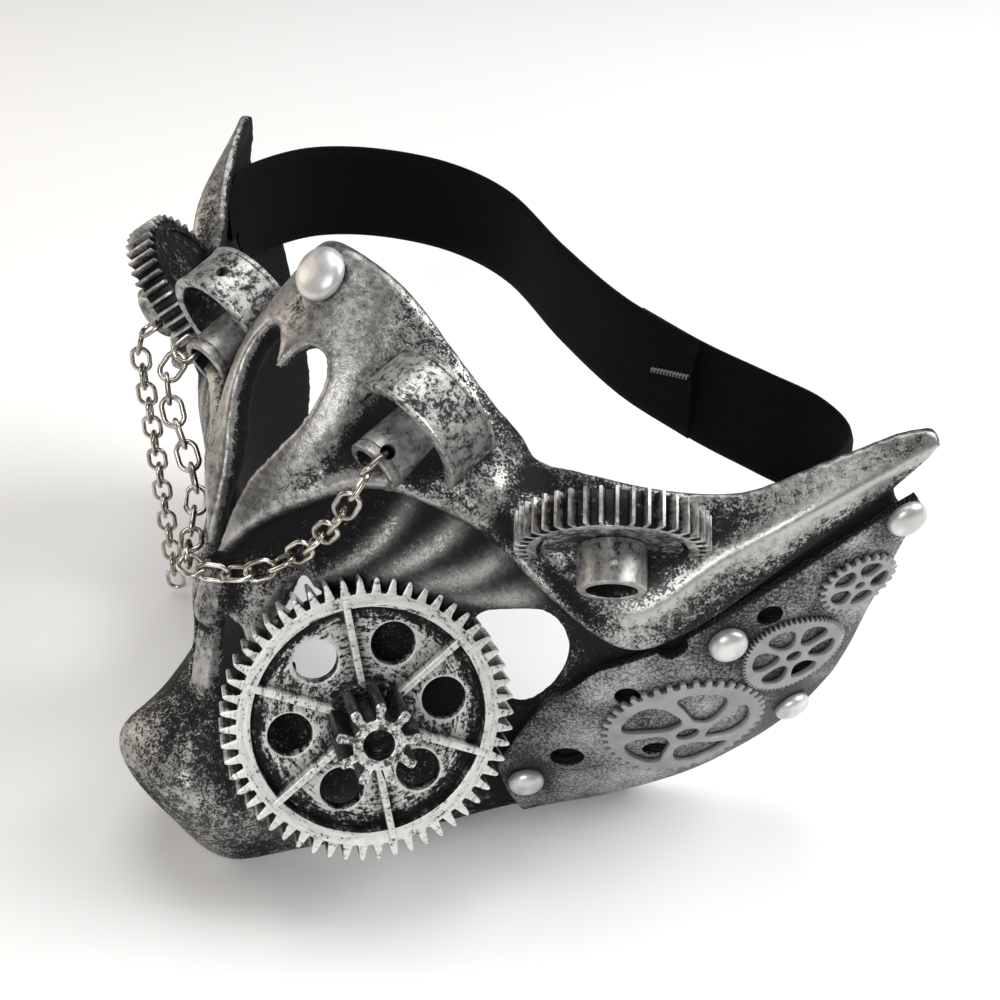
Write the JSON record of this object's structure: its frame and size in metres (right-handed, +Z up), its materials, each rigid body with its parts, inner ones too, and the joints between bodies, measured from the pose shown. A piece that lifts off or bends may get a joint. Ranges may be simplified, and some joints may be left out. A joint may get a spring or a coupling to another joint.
{
  "type": "steampunk half mask",
  "caption": "Half-face costume mask: silver-brushed black shell with a heart nose opening, toothed gears, half rings, chains, riveted leather cheek panels and an elastic strap.",
  "frame": {"origin": "middle of the base: on the table, under the centre of the bounding box", "axes": "+X to the wearer's left, along the longest extent; +Y backwards, to the wearer; +Z up as it lies"},
  "size_m": [0.1812, 0.1226, 0.11],
  "materials": {
    "shell": "black, dry-brushed silver",
    "silver": "silver with a black wash",
    "pewter": "satin grey",
    "leather": "silver-painted grain",
    "pearl": "pearly silver",
    "nickel": "warm nickel",
    "elastic": "black woven elastic"
  },
  "bodies": {
    "root": {"mask_shell": "shell", "nose_rivet": "pearl", "big_gear": "silver", "pinion": "silver", "nose_chain": "nickel", "hanging_chain": "nickel", "strap_long": "elastic", "strap_short": "elastic", "half_ring_left": "silver", "ring_tube_left": "silver", "cheek_gear_left": "silver", "cheek_hub_left": "silver", "side_panel_left": "leather", "panel_gear_large_left": "pewter", "panel_gear_medium_left": "pewter", "panel_gear_small_left": "pewter", "panel_rivet_1_left": "pearl", "panel_rivet_2_left": "pearl", "panel_rivet_3_left": "pearl", "panel_rivet_4_left": "pearl", "half_ring_right": "silver", "ring_tube_right": "silver", "cheek_gear_right": "silver", "cheek_hub_right": "silver", "side_panel_right": "leather", "panel_gear_large_right": "pewter", "panel_gear_medium_right": "pewter", "panel_gear_small_right": "pewter", "panel_rivet_1_right": "pearl", "panel_rivet_2_right": "pearl", "panel_rivet_3_right": "pearl", "panel_rivet_4_right": "pearl"}
  },
  "joints": []
}
